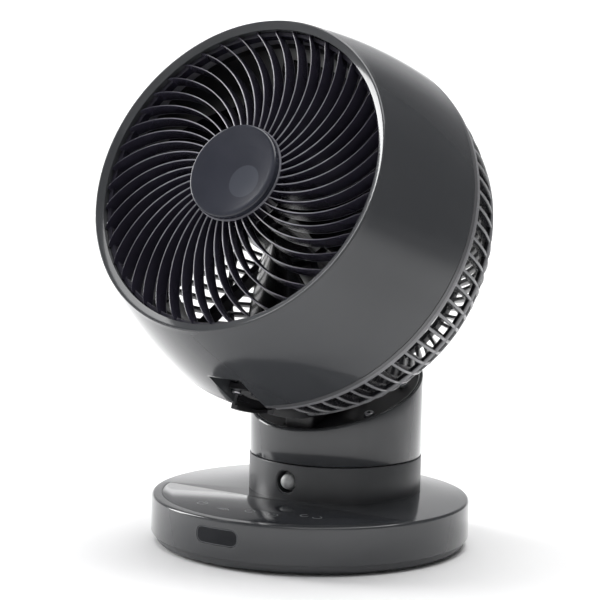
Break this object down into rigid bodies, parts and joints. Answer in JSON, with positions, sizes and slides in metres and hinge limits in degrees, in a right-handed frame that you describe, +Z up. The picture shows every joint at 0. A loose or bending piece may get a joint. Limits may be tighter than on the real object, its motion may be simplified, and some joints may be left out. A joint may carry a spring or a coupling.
{
  "type": "desk air circulator",
  "caption": "Globe-type desk fan: a ball-shaped head with a finned outlet tilts on a swivelling neck over a round touch-panel base.",
  "frame": {"origin": "centre of the round base on the surface it stands on", "axes": "+Z up; -Y towards the front, where the control panel and the sensor are; +X to the right seen from the front"},
  "size_m": [0.21, 0.2039, 0.2891],
  "materials": {
    "shell_gloss": "polished dark slate-grey moulded plastic",
    "body_satin": "fine satin dark slate-grey moulded plastic",
    "fin_dark": "near-black moulded fins with worn-light edges",
    "rib_dark": "near-black moulded ribs with lighter edges",
    "cap_gloss": "polished blue-grey",
    "impeller_black": "polished black",
    "inner_black": "plain black moulding",
    "panel_gloss": "mirror-gloss control panel",
    "window_dark": "dark infrared-clear plastic",
    "sensor_white": "milky translucent lens",
    "sensor_can_metal": "plated can",
    "rubber_black": "soft pad",
    "steel": "zinc plated",
    "ballast_iron": "rough cast",
    "board_green": "solder-masked circuit board",
    "motor_can": "plated sheet steel",
    "motor_core": "laminated core with enamelled windings",
    "acetal_white": "natural acetal"
  },
  "bodies": {
    "base": {"base_cover": "shell_gloss", "base_plate": "body_satin", "rubber_feet": "rubber_black", "base_screws": "steel", "ballast_weight": "ballast_iron", "ballast_screws": "steel", "touch_panel": "panel_gloss", "panel_board": "board_green", "remote_window": "window_dark", "remote_receiver": "inner_black", "main_board": "board_green", "board_screws": "steel", "power_inlet": "inner_black", "swivel_motor": "motor_can", "swivel_motor_screws": "steel", "neck_collar": "body_satin", "collar_screws": "steel", "sensor_cup": "inner_black", "sensor_lens": "sensor_white", "sensor_can": "sensor_can_metal", "swivel_bearing": "acetal_white"},
    "swivel_pinion": {"swivel_pinion": "acetal_white"},
    "yoke": {"swivel_gear": "acetal_white", "swivel_spindle": "inner_black", "spindle_screws": "steel", "yoke": "shell_gloss", "yoke_deck": "inner_black", "deck_screws": "steel", "tilt_frame": "inner_black", "frame_screws": "steel", "tilt_motor": "motor_can", "tilt_motor_screws": "steel", "gear_axles": "steel", "guide_pins": "steel"},
    "tilt_pinion": {"tilt_pinion": "acetal_white"},
    "tilt_idler": {"tilt_idler": "acetal_white"},
    "tilt_drive_pinion": {"tilt_drive_pinion": "acetal_white"},
    "head": {"tilt_rail": "inner_black", "rail_screws": "steel", "head_shell": "shell_gloss", "front_grille": "fin_dark", "hub_cap": "cap_gloss", "rear_grille": "rib_dark", "air_duct": "inner_black", "motor_bracket": "inner_black", "bracket_screws": "steel", "grille_screws": "steel", "motor_housing": "motor_can", "motor_stator": "motor_core", "motor_bearings": "steel", "motor_board": "board_green", "motor_screws": "steel"},
    "impeller": {"impeller": "impeller_black", "impeller_nut": "inner_black", "motor_shaft": "steel", "motor_rotor": "motor_core"}
  },
  "joints": [
    {"name": "swivel", "type": "hinge", "parent": "base", "child": "yoke", "pos_m": [0, 0.024, 0.0475], "axis": [0, 0, 1], "range_deg": [-60, 60]},
    {"name": "head_tilt", "type": "hinge", "parent": "yoke", "child": "head", "pos_m": [0, -0.0205, 0.182], "axis": [-1, 0, 0], "range_deg": [-27, 63]},
    {"name": "impeller_spin", "type": "hinge", "parent": "head", "child": "impeller", "pos_m": [0, -0.0205, 0.182], "axis": [0, -0.891, 0.454], "continuous": true},
    {"name": "swivel_pinion_spin", "type": "hinge", "parent": "base", "child": "swivel_pinion", "pos_m": [-0.026, 0.024, 0.031], "axis": [0, 0, 1], "range_deg": [-200.5, 200.5]},
    {"name": "tilt_pinion_spin", "type": "hinge", "parent": "yoke", "child": "tilt_pinion", "pos_m": [0, 0.00872, 0.08011], "axis": [-1, 0, 0], "range_deg": [-1051, 451]},
    {"name": "tilt_idler_spin", "type": "hinge", "parent": "yoke", "child": "tilt_idler", "pos_m": [0, 0.02141, 0.07419], "axis": [-1, 0, 0], "range_deg": [-338, 788]},
    {"name": "tilt_drive_spin", "type": "hinge", "parent": "yoke", "child": "tilt_drive_pinion", "pos_m": [0, 0.01358, 0.06258], "axis": [-1, 0, 0], "range_deg": [-1051, 451]}
  ],
  "couplings": [
    {"joint": "swivel_pinion_spin", "follows": "swivel", "ratio": -3.3333},
    {"joint": "tilt_pinion_spin", "follows": "head_tilt", "ratio": -16.667},
    {"joint": "tilt_idler_spin", "follows": "head_tilt", "ratio": 12.5},
    {"joint": "tilt_drive_spin", "follows": "head_tilt", "ratio": -16.667}
  ]
}
